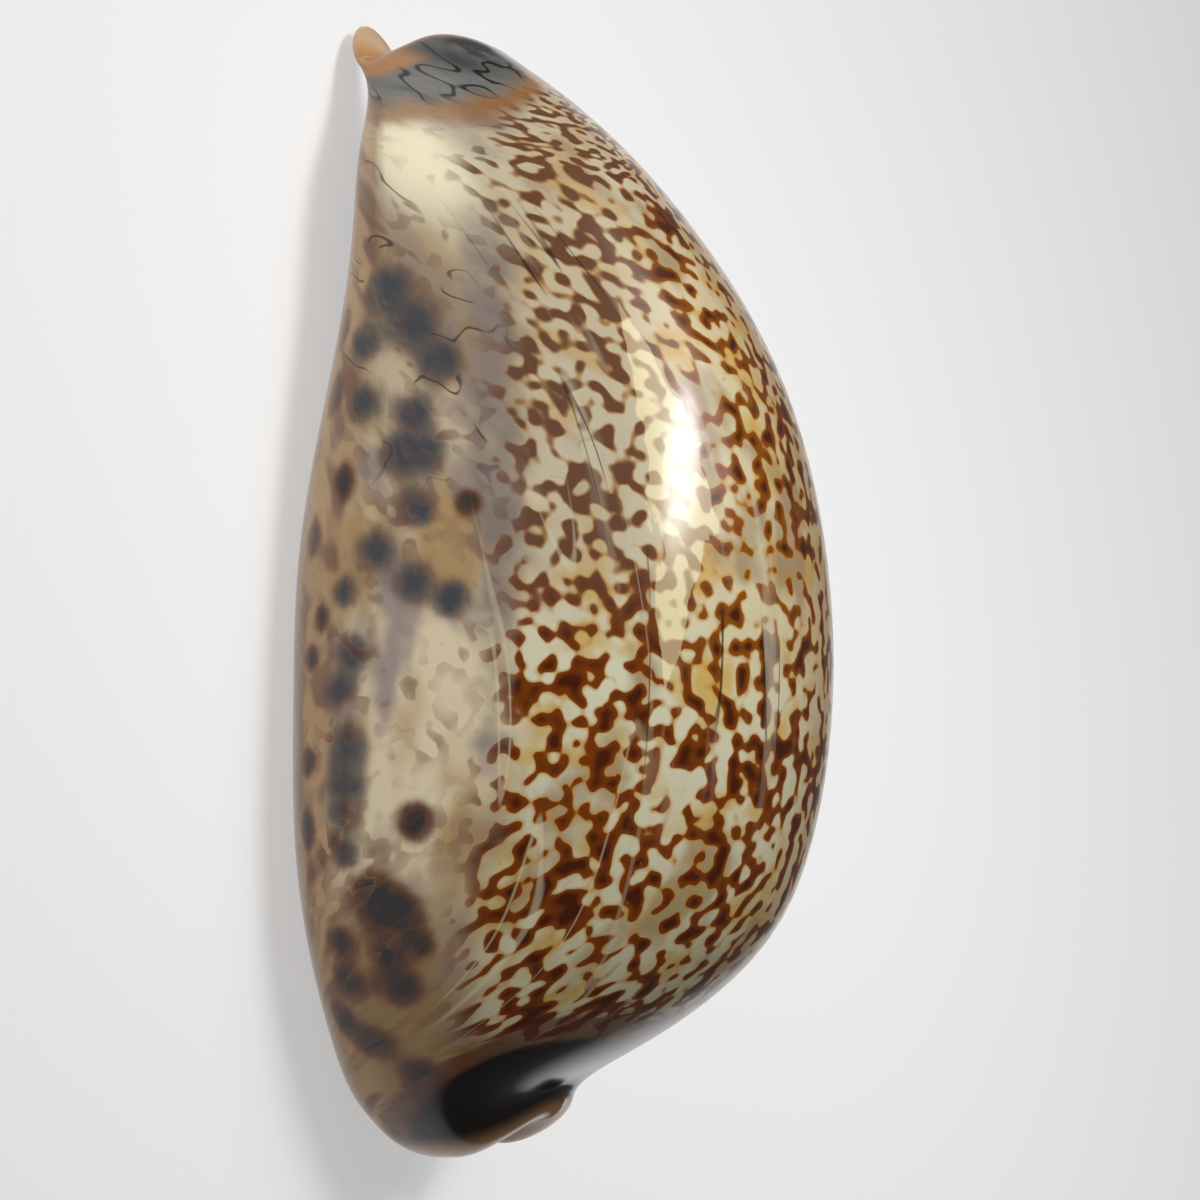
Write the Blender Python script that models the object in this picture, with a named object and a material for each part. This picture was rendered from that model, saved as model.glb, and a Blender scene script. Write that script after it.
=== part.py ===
"""Cowrie shell of the Arabian kind: a domed sea shell with a long toothed aperture, grown in one piece.

Run it with: blender --background --python part.py

Frame: +X runs to the anterior end, -Y to the outer (labral) lip, +Z up through the dome. The shell
rests on its base at z = 0. Two sheets make it. The outer one covers all that is polished, and at the
aperture and both canals it rolls over the edge. The inner one lines the body whorl.
"""

from typing import NamedTuple

import bmesh
import bpy
import numpy as np

NAME = "cowrie_shell"
MM = 0.001

SHELL_LENGTH = 70.0  # millimetres, posterior tip to anterior tip
TEETH = 25  # on each lip
TOOTH_HEIGHT = 0.55
TOOTH_RINGS = 4  # rings of the outer sheet to one tooth
END_RINGS = 7  # between the last tooth and each canal
RIM_RINGS = 4  # over each canal's rim
DOME_SPANS = 8  # columns from crest to margin
LIP_SPANS = 3
THROAT_SPANS = 1

INNER_RINGS = 38
INNER_SPANS = 5  # columns from crest to slit

WALL = 2.2  # over the dome
MARGIN_WALL = 5.0
LIP_DEPTH = 5.6  # thickness of both lips, from base to cavity floor
POSTERIOR_LIP_DEPTH = 3.0
ANTERIOR_LIP_DEPTH = 4.6
LIP_RADIUS = 1.3

DOME_END, BASE_END, LIP_END = 0.5, 0.78, 0.92
"""Where a half section passes from dome to base, from base to lip, and from lip to throat."""

FIRST_TOOTH, LAST_TOOTH = 0.07, 0.93
BASE_COLUMNS = (0.38, 0.66, 0.83, 0.92, 1.0)
"""Shares of the base where its columns lie: close together on the flat part beside the lips."""

EDGE_SHARE = 0.14
BEAK_SHARE = 0.12
RIM_ROUNDNESS = 0.66  # most reach of a rim, as a share of the wall it rolls over
POSTERIOR_REACH = (2.4, 1.2)
ANTERIOR_REACH = (2.6, 2.6)
"""How far each canal's rim reaches straight on from the outer sheet, and from the lining."""
BEAK_DROP = 1.0
BEAK_FLARE = 0.4
"""The posterior end of the labral lip turns down and out over this first share of the length."""


class Station(NamedTuple):
    """One ring round the shell, in millimetres."""

    at: float  # share of the way from the posterior canal to the anterior one
    x: float
    labral: float  # reach of the margin towards -Y
    columellar: float  # reach of the margin towards +Y
    top: float
    margin: float  # height of the widest place
    base: float
    slit_y: float
    slit: float  # half width


STATIONS = (
    Station(0.00, -33.2, 4.0, 5.8, 10.0, 4.2, 1.8, 2.4, 1.2),
    Station(0.06, -31.4, 5.6, 8.2, 13.0, 5.5, 2.4, 2.2, 1.2),
    Station(0.15, -27.6, 8.6, 11.8, 17.4, 7.0, 2.3, 1.4, 1.2),
    Station(0.26, -21.0, 10.6, 15.8, 22.7, 8.4, 2.1, 0.2, 1.2),
    Station(0.38, -12.5, 13.3, 18.9, 27.3, 9.0, 1.1, -1.0, 1.2),
    Station(0.50, -3.0, 15.4, 20.2, 29.7, 9.1, -0.3, -1.8, 1.3),
    Station(0.62, 6.5, 16.7, 20.0, 30.2, 8.8, -0.5, -2.0, 1.4),
    Station(0.74, 16.0, 16.9, 18.0, 28.8, 8.1, -0.3, -1.8, 1.5),
    Station(0.84, 23.6, 14.8, 14.8, 24.4, 7.8, 0.4, -1.2, 1.6),
    Station(0.91, 28.6, 11.9, 11.4, 17.6, 7.8, 1.1, -0.7, 1.7),
    Station(0.96, 31.4, 9.6, 9.0, 13.6, 7.9, 1.8, -0.4, 1.8),
    Station(1.00, 33.0, 7.7, 7.2, 13.2, 8.2, 2.7, -0.2, 1.8),
)

END_COLUMNS = (-1.0, -0.9, -0.8, -0.7, -0.6, -0.5, -0.35, -0.2, 0.0, 0.25, 0.5, 0.75, 1.0)
POSTERIOR_EDGE = (0.5, -0.4, -1.8, -1.2, 0.2, 0.0, -1.0, -1.1, -0.7, -0.5, 0.0, 0.5, 0.8)
ANTERIOR_EDGE = (-1.4, -1.0, -0.5, 0.0, 0.3, 0.3, -0.1, -1.0, -2.0, -0.9, 0.0, -0.6, -1.4)
"""Shift of each canal's edge along X at those columns: the canal walls stand out past their notch."""
POSTERIOR_LINING = 1.0
ANTERIOR_LINING = 0.85
"""The lining's posterior edge shifts this far all round, and its anterior one by this share of the outer."""


def spline(knots, values, places):
    """Values at the places on the natural cubic spline through the knots."""
    knots = np.asarray(knots, float)
    values = np.asarray(values, float)
    gaps = np.diff(knots)
    slopes = np.diff(values, axis=0) / gaps[:, None]
    count = len(knots)
    matrix = np.eye(count)
    right = np.zeros_like(values)
    for i in range(1, count - 1):
        matrix[i, i - 1 : i + 2] = gaps[i - 1], 2 * (gaps[i - 1] + gaps[i]), gaps[i]
        right[i] = 6 * (slopes[i] - slopes[i - 1])
    bend = np.linalg.solve(matrix, right)
    k = np.clip(np.searchsorted(knots, places) - 1, 0, count - 2)
    gap = gaps[k][:, None]
    past = (places - knots[k])[:, None]
    left = (knots[k + 1] - places)[:, None]
    return (
        (bend[k] * left**3 + bend[k + 1] * past**3) / (6 * gap)
        + (values[k] / gap - bend[k] * gap / 6) * left
        + (values[k + 1] / gap - bend[k + 1] * gap / 6) * past
    )


def smooth(low, high, value):
    """0 below low, 1 above high, and an even slope between."""
    t = np.clip((value - low) / (high - low), 0.0, 1.0)
    return t * t * (3 - 2 * t)


def fade(v, share):
    """1 at the end of the shell, falling ever more gently to 0 at this share of its length."""
    return np.clip(1 - v[:, None] / share, 0, 1) ** 2


def stations_at(v):
    """Every station field at the places v, each as a column."""
    table = spline([row.at for row in STATIONS], [row[1:] for row in STATIONS], v)
    return dict(zip(Station._fields[1:], np.moveaxis(table[:, :, None], 1, 0)))


def lip_depth(v):
    """Thickness of the lips, which thin towards both canals."""
    posterior = 1 - smooth(0.0, 0.2, v)[:, None]
    anterior = 1 - smooth(0.0, 0.2, 1 - v)[:, None]
    return (
        LIP_DEPTH
        + (POSTERIOR_LIP_DEPTH - LIP_DEPTH) * posterior
        + (ANTERIOR_LIP_DEPTH - LIP_DEPTH) * anterior
    )


def placed(v, u, x, y, z, shift):
    """The points of a section, its ends shifted along X by two columns and its beak turned down."""
    x = x + shift[:, 0] * fade(v, EDGE_SHARE) + shift[:, 1] * fade(1 - v, EDGE_SHARE)
    beak = smooth(0.4, 0.75, -u) * fade(v, BEAK_SHARE)
    return np.stack([x, y - BEAK_FLARE * beak, z - BEAK_DROP * beak], axis=-1)


def half_section(share, crest, edge, lip, slit, heights, powers):
    """Y and Z of a half section, from the crest (share 0) round the margin to the throat (share 1)."""
    top, margin, base, depth, radius = heights
    dome_power, base_power = powers
    turn = np.clip(share / DOME_END, 0, 1) * np.pi / 2
    dome_y = crest + (edge - crest) * np.sin(turn) ** (2 / dome_power)
    dome_z = margin + (top - margin) * np.cos(turn) ** (2 / dome_power)
    turn = np.clip((share - DOME_END) / (BASE_END - DOME_END), 0, 1) * np.pi / 2
    base_y = lip + (edge - lip) * np.cos(turn) ** (2 / base_power)
    base_z = margin + (base - margin) * np.sin(turn) ** (2 / base_power)
    turn = np.clip((share - BASE_END) / (LIP_END - BASE_END), 0, 1) * np.pi / 2
    lip_y = lip + (slit - lip) * np.sin(turn)
    lip_z = base + radius * (1 - np.cos(turn))
    rise = np.clip((share - LIP_END) / (1 - LIP_END), 0, 1)
    lip_z = lip_z + rise * (depth - radius)
    on_dome = share <= DOME_END
    on_base = share <= BASE_END
    y = np.where(on_dome, dome_y, np.where(on_base, base_y, lip_y))
    z = np.where(on_dome, dome_z, np.where(on_base, base_z, lip_z))
    return y, z


def outer_section(v, u):
    """Points of the outer sheet for rings v and columns u, where u is -1 to 1 from lip to lip."""
    s = stations_at(v)
    u = u[None, :]
    share = np.abs(u)
    labral = u < 0
    side = np.where(labral, -1.0, 1.0)
    edge = np.where(labral, -s["labral"], s["columellar"])
    slit = s["slit_y"] + side * s["slit"]
    end = 1 - smooth(0.0, 0.1, v[:, None]) * smooth(0.0, 0.1, 1 - v[:, None])
    depth = lip_depth(v)
    lip = slit + side * (2.2 - 1.0 * end)
    y, z = half_section(
        share, 0.0, edge, lip, slit,
        (s["top"], s["margin"], s["base"], depth - 1.2, LIP_RADIUS), (2.1, 2.25),
    )
    shift = spline(END_COLUMNS, np.array([POSTERIOR_EDGE, ANTERIOR_EDGE]).T, u[0])
    return placed(v, u, s["x"], y, z, shift)


def inner_section(v, u):
    """Points of the inner sheet: the lining of the body whorl and of both canals."""
    s = stations_at(v)
    u = u[None, :]
    share = np.abs(u)
    labral = u < 0
    side = np.where(labral, -1.0, 1.0)
    slit = s["slit_y"] + side * s["slit"]
    end = 1 - smooth(0.0, 0.22, v[:, None]) * smooth(0.0, 0.22, 1 - v[:, None])
    depth = lip_depth(v)
    edge = np.where(labral, -s["labral"], s["columellar"]) - side * MARGIN_WALL
    edge = edge + (slit + side * 0.3 - edge) * end
    floor = s["base"] + depth - 0.6 * end
    top = s["top"] - WALL
    top = top + (floor + 1.8 - top) * end
    margin = s["margin"] + 2.0
    margin = margin + (floor + 1.0 - margin) * end
    crest = s["slit_y"] * end
    y, z = half_section(
        share, crest, edge, slit + side * 0.15, slit,
        (top, margin, floor, 0.0, 0.0), (2.1, 2.5),
    )
    anterior = spline(END_COLUMNS, np.array([ANTERIOR_EDGE]).T, u[0])
    shift = np.hstack([np.full_like(anterior, POSTERIOR_LINING), anterior * ANTERIOR_LINING])
    return placed(v, u, s["x"], y, z, shift)


def rim(end, reach, t, u):
    """Points of the roll over one canal's rim, from the outer sheet (t 0) to the lining (t 1)."""
    from_outside, from_lining = reach
    inward = 1.0 if end == 0 else -1.0
    ends = np.array([float(end)])
    outside = outer_section(ends, u)[0]
    near = outer_section(ends + 0.004 * inward, u)[0]
    lining = inner_section(ends, u)[0]
    along = outside - near
    along /= np.linalg.norm(along, axis=1, keepdims=True)
    out = np.array([-inward, 0.0, 0.0])
    thickness = np.linalg.norm(outside - lining, axis=1, keepdims=True)
    if end == 0:
        along += (out - along) * smooth(0.55, 0.8, np.abs(u))[:, None]
    start = outside + along * np.minimum(from_outside, RIM_ROUNDNESS * thickness)
    finish = lining + out * np.minimum(from_lining, RIM_ROUNDNESS * thickness)
    t = t[:, None, None]
    return (
        outside * (1 - t) ** 3
        + start * 3 * t * (1 - t) ** 2
        + finish * 3 * t**2 * (1 - t)
        + lining * t**3
    )


def groove_depth(v, u):
    """Depth of the grooves that leave a row of teeth across each lip and fade on the base."""
    pitch = (LAST_TOOTH - FIRST_TOOTH) / TEETH
    wave = 0.5 + 0.5 * np.cos(2 * np.pi * (v[:, None] - FIRST_TOOTH) / pitch)
    row = smooth(FIRST_TOOTH, FIRST_TOOTH + pitch, v) * smooth(0, pitch, LAST_TOOTH - v)
    reach = smooth(BASE_END - 0.02, BASE_END + 0.06, np.abs(u)[None, :])
    return TOOTH_HEIGHT * wave * row[:, None] * reach


def outer(v, u):
    """The whole outer sheet. Below 0 and above 1, v runs over the rim of a canal."""
    on_body = (v >= 0) & (v <= 1)
    body = outer_section(v[on_body], u)
    step_v, step_u = 0.002, 0.004
    across = outer_section(v[on_body], u + step_u) - outer_section(v[on_body], u - step_u)
    along = outer_section(v[on_body] + step_v, u) - outer_section(v[on_body] - step_v, u)
    normal = np.cross(along, across)
    normal /= np.maximum(np.linalg.norm(normal, axis=-1, keepdims=True), 1e-9)
    body[:, :, 2] = np.maximum(body[:, :, 2], 0.0)
    body = body - normal * groove_depth(v[on_body], u)[:, :, None]
    posterior = rim(0, POSTERIOR_REACH, -v[v < 0], u)
    anterior = rim(1, ANTERIOR_REACH, v[v > 1] - 1, u)
    return np.concatenate([posterior, body, anterior])


def mirrored_columns(half):
    """Columns from the labral throat over the crest to the columellar throat."""
    half = np.asarray(half, float)
    return np.concatenate([-half[:0:-1], half])


def outer_columns():
    dome = np.linspace(0, DOME_END, DOME_SPANS + 1)
    base = DOME_END + (BASE_END - DOME_END) * np.array(BASE_COLUMNS)
    lip = np.linspace(BASE_END, LIP_END, LIP_SPANS + 1)[1:]
    throat = np.linspace(LIP_END, 1, THROAT_SPANS + 1)[1:]
    return mirrored_columns(np.concatenate([dome, base, lip, throat]))


def outer_rings():
    over_rim = np.linspace(0, 0.85, RIM_RINGS + 1)[1:]
    before = np.linspace(0, FIRST_TOOTH, END_RINGS + 1)[:-1]
    toothed = np.linspace(FIRST_TOOTH, LAST_TOOTH, TEETH * TOOTH_RINGS + 1)
    after = np.linspace(LAST_TOOTH, 1, END_RINGS + 1)[1:]
    return np.concatenate([-over_rim[::-1], before, toothed, after, 1 + over_rim])


def inner_rings():
    """Places of the lining's rings, spaced as the outer sheet's are so that the bridge runs straight."""
    rings = outer_rings()
    shares = np.interp(
        np.linspace(0, len(rings) - 1, INNER_RINGS + 1),
        np.arange(len(rings)),
        np.clip(rings, 0, 1) + 0.003 * np.clip(rings, -1, 0) + 0.003 * np.clip(rings - 1, 0, 1),
    )
    return (shares - shares[0]) / (shares[-1] - shares[0])


def add_sheet(mesh, points):
    """Lays a grid over the points, which come as rings of columns, and returns its boundary's sides."""
    rings, columns = points.shape[:2]
    made = bmesh.ops.create_grid(
        mesh, x_segments=columns - 1, y_segments=rings - 1, size=0.5
    )
    places = {}
    for vertex in made["verts"]:
        ring = round((vertex.co.y + 0.5) * (rings - 1))
        column = round((vertex.co.x + 0.5) * (columns - 1))
        vertex.co = points[ring, column] * MM
        places[vertex] = (ring, column)
    ends = ((0, 0), (0, rings - 1), (1, 0), (1, columns - 1))
    return [
        [
            edge
            for edge in mesh.edges
            if all(vertex in places and places[vertex][axis] == end for vertex in edge.verts)
        ]
        for axis, end in ends
    ]


def shell_mesh():
    """Both sheets, joined all round their edges into one closed surface."""
    mesh = bmesh.new()
    outer_sides = add_sheet(mesh, outer(outer_rings(), outer_columns()))
    inner_columns = mirrored_columns(np.linspace(0, 1, INNER_SPANS + 1))
    inner_sides = add_sheet(mesh, inner_section(inner_rings(), inner_columns))
    for outer_side, inner_side in zip(outer_sides, inner_sides):
        bmesh.ops.bridge_loops(mesh, edges=outer_side + inner_side)
    bmesh.ops.triangulate(mesh, faces=mesh.faces)
    bmesh.ops.recalc_face_normals(mesh, faces=mesh.faces)
    return mesh


def centre(mesh):
    """Moves the shell so that the middle of its bounding box is above the origin."""
    low = [min(vertex.co[axis] for vertex in mesh.verts) for axis in range(3)]
    high = [max(vertex.co[axis] for vertex in mesh.verts) for axis in range(3)]
    shift = (-(low[0] + high[0]) / 2, -(low[1] + high[1]) / 2, -low[2])
    scale = SHELL_LENGTH * MM / (high[0] - low[0])
    bmesh.ops.translate(mesh, verts=mesh.verts, vec=shift)
    bmesh.ops.scale(mesh, verts=mesh.verts, vec=(scale, scale, scale))


def shell_material():
    material = bpy.data.materials.new("polished aragonite")
    material.use_nodes = True
    shader = material.node_tree.nodes["Principled BSDF"]
    shader.inputs["Base Color"].default_value = (0.40, 0.27, 0.16, 1.0)
    shader.inputs["Roughness"].default_value = 0.12
    shader.inputs["Metallic"].default_value = 0.0
    shader.inputs["Coat Weight"].default_value = 0.5
    return material


def main():
    for old in list(bpy.data.objects):
        bpy.data.objects.remove(old)
    collection = bpy.data.collections.new("cowrie shell")
    bpy.context.scene.collection.children.link(collection)
    mesh = shell_mesh()
    centre(mesh)
    data = bpy.data.meshes.new(NAME)
    mesh.to_mesh(data)
    mesh.free()
    data.shade_smooth()
    data.materials.append(shell_material())
    collection.objects.link(bpy.data.objects.new(NAME, data))


if __name__ == "__main__":
    main()
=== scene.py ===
"""A cowrie shell of the Arabian kind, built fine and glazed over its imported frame.

+X runs to the anterior end, -Y to the outer (labral) lip, +Z up through the dome. One closed mesh
stands for the CAD node. It carries its markings as soft masks on its points, and the glaze turns
them into colour together with patterns laid in millimetres along and round the shell.
"""

import logging
import math
from dataclasses import dataclass, field
from enum import Enum
from typing import NamedTuple

import bmesh
import bpy
import numpy as np
from mathutils import Matrix, Vector


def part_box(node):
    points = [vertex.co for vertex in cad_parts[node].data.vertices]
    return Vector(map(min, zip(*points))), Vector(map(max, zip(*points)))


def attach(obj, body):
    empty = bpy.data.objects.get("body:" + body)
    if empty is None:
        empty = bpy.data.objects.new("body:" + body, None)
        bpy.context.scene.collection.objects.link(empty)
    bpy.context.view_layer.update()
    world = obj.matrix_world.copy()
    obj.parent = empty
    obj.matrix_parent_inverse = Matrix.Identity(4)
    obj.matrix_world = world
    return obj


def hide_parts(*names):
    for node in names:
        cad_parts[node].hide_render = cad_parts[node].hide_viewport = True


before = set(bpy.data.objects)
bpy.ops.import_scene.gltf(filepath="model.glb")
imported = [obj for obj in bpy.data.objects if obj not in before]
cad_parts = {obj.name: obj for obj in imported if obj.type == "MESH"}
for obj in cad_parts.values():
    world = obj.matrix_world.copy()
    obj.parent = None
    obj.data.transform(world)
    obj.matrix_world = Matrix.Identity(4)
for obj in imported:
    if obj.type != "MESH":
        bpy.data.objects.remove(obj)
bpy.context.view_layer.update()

Socket = bpy.types.NodeSocket
Value = Socket | float | str
"""What a node's input takes: a link, a number, or a colour in hex."""
Span = tuple[float, float]
Line = tuple[Span, ...]

MM = 0.001
NODE = "cowrie_shell"
WHITE = "#FFFFFF"

log = logging.getLogger("cowrie")


class Lip(Enum):
    """The two lips of the aperture, by the side of the crest that each lies on."""

    LABRAL = -1.0
    COLUMELLAR = 1.0


class Canal(Enum):
    """The two ends of the aperture, by their place on the way along the shell."""

    POSTERIOR = 0
    ANTERIOR = 1


def linear_rgb(colour: str) -> tuple[float, float, float, float]:
    """Turns an sRGB hex colour to linear.

    Args:
        colour: "#RRGGBB".

    Returns:
        Red, green, blue and an alpha of 1.
    """
    parts = (int(colour[i : i + 2], 16) / 255 for i in (1, 3, 5))
    red, green, blue = (
        part / 12.92 if part <= 0.04045 else ((part + 0.055) / 1.055) ** 2.4 for part in parts
    )
    return red, green, blue, 1.0


def wire(tree: bpy.types.NodeTree, node: bpy.types.Node, sockets: dict[int | str, object]) -> None:
    """Links or sets a node's inputs.

    Args:
        tree: Node tree of the node.
        node: The node.
        sockets: Values and source sockets, by number or name of the input. Text is a colour.
    """
    for key, value in sockets.items():
        if isinstance(value, Socket):
            tree.links.new(value, node.inputs[key])
        else:
            node.inputs[key].default_value = linear_rgb(value) if isinstance(value, str) else value


def add_node(
    tree: bpy.types.NodeTree,
    kind: str,
    settings: dict[str, object],
    sockets: dict[int | str, object],
    output: int | str = 0,
) -> Socket:
    """Adds a node with its settings and links.

    Args:
        tree: Node tree that the node goes into.
        kind: Node type, without the leading "ShaderNode".
        settings: Properties of the node.
        sockets: Values and source sockets for its inputs, by number or name. Text is a colour.
        output: Number or name of the output to return.

    Returns:
        That output's socket.
    """
    node = tree.nodes.new(f"ShaderNode{kind}")
    for name, value in settings.items():
        setattr(node, name, value)
    wire(tree, node, sockets)
    return node.outputs[output]


def add_object(name: str, data: bpy.types.ID) -> bpy.types.Object:
    """Puts an object in the scene.

    Args:
        name: Name of the object.
        data: What it shows.

    Returns:
        The object.
    """
    made = bpy.data.objects.new(name, data)
    bpy.context.scene.collection.objects.link(made)
    return made


def finish_mesh(mesh: bmesh.types.BMesh, name: str) -> bpy.types.Mesh:
    """Turns a bmesh into mesh data.

    Args:
        mesh: The bmesh. It is freed.
        name: Name of the data.

    Returns:
        The data.
    """
    data = bpy.data.meshes.new(name)
    mesh.to_mesh(data)
    mesh.free()
    return data


def spline(knots: np.ndarray, values: np.ndarray, places: np.ndarray) -> np.ndarray:
    """Runs the natural cubic spline through the knots.

    Args:
        knots: Rising places of the known values.
        values: A row of known values for each knot.
        places: Where to read the spline.

    Returns:
        A row of values for each place.
    """
    gaps = np.diff(knots)
    slopes = np.diff(values, axis=0) / gaps[:, None]
    count = len(knots)
    matrix = np.eye(count)
    right = np.zeros_like(values)
    for i in range(1, count - 1):
        matrix[i, i - 1 : i + 2] = gaps[i - 1], 2 * (gaps[i - 1] + gaps[i]), gaps[i]
        right[i] = 6 * (slopes[i] - slopes[i - 1])
    bend = np.linalg.solve(matrix, right)
    k = np.clip(np.searchsorted(knots, places) - 1, 0, count - 2)
    gap = gaps[k][:, None]
    past = (places - knots[k])[:, None]
    left = (knots[k + 1] - places)[:, None]
    return (
        (bend[k] * left**3 + bend[k + 1] * past**3) / (6 * gap)
        + (values[k] / gap - bend[k] * gap / 6) * left
        + (values[k + 1] / gap - bend[k + 1] * gap / 6) * past
    )


def smooth(low: float, high: float, value: np.ndarray) -> np.ndarray:
    """0 at low and 1 at high, which may be the lower one, with an even slope between."""
    t = np.clip((value - low) / (high - low), 0.0, 1.0)
    return t * t * (3 - 2 * t)


def line_at(knots: Line, places: np.ndarray) -> np.ndarray:
    """Reads a bent line, given as pairs of a place and a value, at the places."""
    return np.interp(places, *np.array(knots, float).T)


def mirrored(half: np.ndarray) -> np.ndarray:
    """Values that rise from 0, with the same ones below 0 before them."""
    return np.concatenate([-half[:0:-1], half])


class Station(NamedTuple):
    """One ring round the shell, in millimetres."""

    at: float  # share of the way from the posterior canal to the anterior one
    x: float
    labral: float  # reach of the margin towards -Y
    columellar: float  # reach of the margin towards +Y
    top: float
    margin: float  # height of the widest place
    base: float  # height beside the lips
    slit_y: float  # middle of the aperture
    slit: float  # half width of the aperture


@dataclass
class Sheet:
    """A grid of points in millimetres, with the place and side that each was made at."""

    points: np.ndarray
    rings: np.ndarray
    columns: np.ndarray

    def arc_along(self) -> np.ndarray:
        """Measures along each column.

        Returns:
            Millimetres from the middle ring, below 0 before it.
        """
        steps = np.linalg.norm(np.diff(self.points, axis=0), axis=2)
        arc = np.concatenate([np.zeros((1, len(self.columns))), np.cumsum(steps, axis=0)])
        return arc - arc[np.abs(self.rings - 0.5).argmin()]

    def arc_round(self) -> np.ndarray:
        """Measures round each ring.

        Returns:
            Millimetres from the crest, below 0 on the labral side.
        """
        steps = np.linalg.norm(np.diff(self.points, axis=1), axis=2)
        arc = np.concatenate([np.zeros((len(self.rings), 1)), np.cumsum(steps, axis=1)], axis=1)
        return arc - arc[:, np.abs(self.columns).argmin()][:, None]


@dataclass
class ShellForm:
    """The body of the shell: one outer sheet and one lining, joined over the lips and canals.

    Sizes are in millimetres. Places along the shell (v) are shares of the way from the posterior
    canal to the anterior one, and columns round it (u) run from -1 at the labral throat over the
    crest at 0 to 1 at the columellar throat.
    """

    teeth: int = 25
    tooth_height: float = 0.55
    tooth_rings: int = 10
    end_rings: int = 24
    rim_rings: int = 14
    dome_spans: int = 80
    base_spans: int = 16
    lip_spans: int = 8
    throat_spans: int = 3
    inner_rings: int = 90
    inner_spans: int = 12

    dome_end: float = 0.5
    base_end: float = 0.78
    lip_end: float = 0.92
    first_tooth: float = 0.07
    last_tooth: float = 0.93
    teeth_fade: Span = (-0.02, 0.06)  # columns past the base over which the teeth rise

    outer_powers: Span = (2.1, 2.25)  # how square the dome and the base are, where 2 is round
    inner_powers: Span = (2.1, 2.5)
    wall: float = 2.2
    margin_wall: float = 5.0
    lip_depths: tuple[float, float, float] = (3.0, 5.6, 4.6)  # posterior, middle, anterior
    lip_taper: float = 0.2
    lip_radius: float = 1.3
    lip_width: float = 2.2
    lip_narrowing: float = 1.0  # how much less wide the lips are at the canals
    throat_step: float = 1.2  # how far the lining's edge lies past the outer sheet's

    canal_share: float = 0.1
    lining_canal_share: float = 0.22
    lining_lip: float = 0.15  # how far the lining's floor reaches from the throat
    lining_rise: float = 2.0  # its widest place, above the outer sheet's
    canal_lip: float = 0.3
    canal_sink: float = 0.6
    canal_height: float = 1.8
    canal_rise: float = 1.0
    """The lining at the canals: its reach, how far its floor sinks, and its heights over that."""

    edge_share: float = 0.14
    beak_share: float = 0.12
    beak_columns: Span = (0.4, 0.75)
    beak_drop: float = 1.0
    beak_flare: float = 0.4
    """The posterior end of the labral lip turns down and out over this share and these columns."""
    rim_part: float = 0.85  # how much of the roll over a rim belongs to the outer sheet
    rim_roundness: float = 0.66
    rim_straight: Span = (0.55, 0.8)  # columns over which the posterior rim turns to run along X
    rim_pace: float = 0.003  # share of the length that a whole rim takes up in the lining
    probe: float = 0.004  # step over which directions are measured
    reaches: tuple[Span, Span] = ((2.4, 1.2), (2.6, 2.6))
    lining_shift: float = 1.0
    lining_share: float = 0.85

    stations: tuple[Station, ...] = (
        Station(0.00, -33.2, 4.0, 5.8, 10.0, 4.2, 1.8, 2.4, 1.2),
        Station(0.06, -31.4, 5.6, 8.2, 13.0, 5.5, 2.4, 2.2, 1.2),
        Station(0.15, -27.6, 8.6, 11.8, 17.4, 7.0, 2.3, 1.4, 1.2),
        Station(0.26, -21.0, 10.6, 15.8, 22.7, 8.4, 2.1, 0.2, 1.2),
        Station(0.38, -12.5, 13.3, 18.9, 27.3, 9.0, 1.1, -1.0, 1.2),
        Station(0.50, -3.0, 15.4, 20.2, 29.7, 9.1, -0.3, -1.8, 1.3),
        Station(0.62, 6.5, 16.7, 20.0, 30.2, 8.8, -0.5, -2.0, 1.4),
        Station(0.74, 16.0, 16.9, 18.0, 28.8, 8.1, -0.3, -1.8, 1.5),
        Station(0.84, 23.6, 14.8, 14.8, 24.4, 7.8, 0.4, -1.2, 1.6),
        Station(0.91, 28.6, 11.9, 11.4, 17.6, 7.8, 1.1, -0.7, 1.7),
        Station(0.96, 31.4, 9.6, 9.0, 13.6, 7.9, 1.8, -0.4, 1.8),
        Station(1.00, 33.0, 7.7, 7.2, 13.2, 8.2, 2.7, -0.2, 1.8),
    )
    edge_columns: tuple[float, ...] = (
        -1.0, -0.9, -0.8, -0.7, -0.6, -0.5, -0.35, -0.2, 0.0, 0.25, 0.5, 0.75, 1.0,
    )
    posterior_edge: tuple[float, ...] = (
        0.5, -0.4, -1.8, -1.2, 0.2, 0.0, -1.0, -1.1, -0.7, -0.5, 0.0, 0.5, 0.8,
    )
    anterior_edge: tuple[float, ...] = (
        -1.4, -1.0, -0.5, 0.0, 0.3, 0.3, -0.1, -1.0, -2.0, -0.9, 0.0, -0.6, -1.4,
    )

    def sizes_at(self, v: np.ndarray) -> dict[str, np.ndarray]:
        """Reads every station size at the rings.

        Args:
            v: Places of the rings.

        Returns:
            The sizes by name, each as a column.
        """
        rows = np.array(self.stations)
        table = spline(rows[:, 0], rows[:, 1:], v)
        return {name: table[:, [i]] for i, name in enumerate(Station._fields[1:])}

    def lip_depth(self, v: np.ndarray) -> np.ndarray:
        """Works out how thick the lips are. They thin towards both canals.

        Args:
            v: Places of the rings.

        Returns:
            Thickness at each ring, as a column.
        """
        posterior, middle, anterior = self.lip_depths
        near_posterior = 1 - smooth(0.0, self.lip_taper, v)[:, None]
        near_anterior = 1 - smooth(0.0, self.lip_taper, 1 - v)[:, None]
        return middle + (posterior - middle) * near_posterior + (anterior - middle) * near_anterior

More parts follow.
